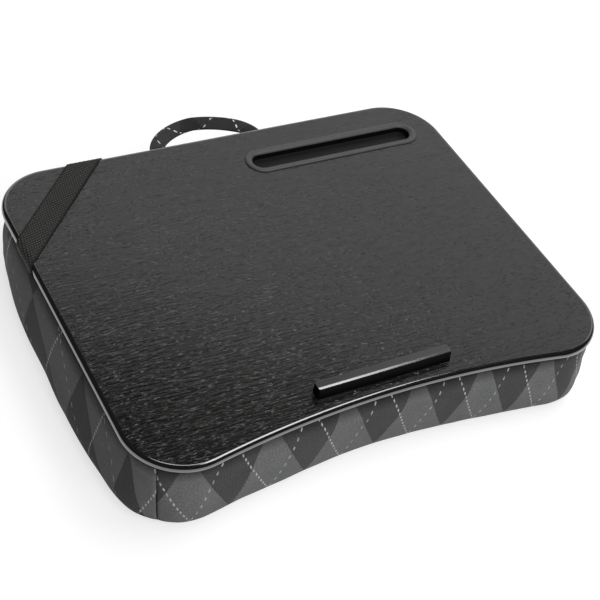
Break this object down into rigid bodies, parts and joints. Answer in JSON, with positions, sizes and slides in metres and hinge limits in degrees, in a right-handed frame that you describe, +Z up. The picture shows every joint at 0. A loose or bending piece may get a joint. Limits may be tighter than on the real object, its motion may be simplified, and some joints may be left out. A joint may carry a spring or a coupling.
{
  "type": "lap desk",
  "caption": "Lap desk with a dipped front, phone slot, device ledge, elastic corner strap and fabric carry handle on a soft argyle cushion.",
  "frame": {"origin": "middle of the whole footprint, handle included, on the surface that the cushion stands on", "axes": "+X to the user's right, +Y from the user to the back edge, +Z up"},
  "size_m": [0.471, 0.4013, 0.083],
  "materials": {
    "board": "black wood grain laminate with a polished round edge",
    "satin_plastic": "satin",
    "black_plastic": "gloss front, satin top",
    "steel": "bright wire",
    "elastic": "herringbone woven elastic",
    "argyle_cloth": "grey argyle print on woven polyester",
    "lining_cloth": "plain non-woven",
    "base_cloth": "plain black weave",
    "beads": "loose foam beads"
  },
  "bodies": {
    "desk": {"top_board": "board", "phone_slot_tray": "satin_plastic", "device_ledge": "black_plastic", "ledge_screws": "steel", "strap_side_end": "elastic", "strap_back_end": "elastic", "strap_staples": "steel", "handle_left_tab": "argyle_cloth", "handle_right_tab": "argyle_cloth", "handle_staples": "steel", "cushion_lining": "lining_cloth", "cover_staples": "steel", "front_band": "argyle_cloth", "right_band": "argyle_cloth", "back_band": "argyle_cloth", "left_band": "argyle_cloth", "bottom_panel": "base_cloth", "centre_divider": "lining_cloth", "left_bolster_fill": "beads", "right_bolster_fill": "beads"},
    "strap": {"elastic_strap": "elastic"},
    "handle": {"handle_loop": "argyle_cloth"}
  },
  "joints": [
    {"name": "strap_lift", "type": "slide", "parent": "desk", "child": "strap", "axis": [0, 0, 1], "range_m": [0, 0.02], "stiffness_N_per_m": 100, "springref_m": -0.003},
    {"name": "handle_swing", "type": "hinge", "parent": "desk", "child": "handle", "pos_m": [-0.006, 0.1575, 0.0642], "axis": [1, 0, 0], "range_deg": [-60, 90]}
  ]
}
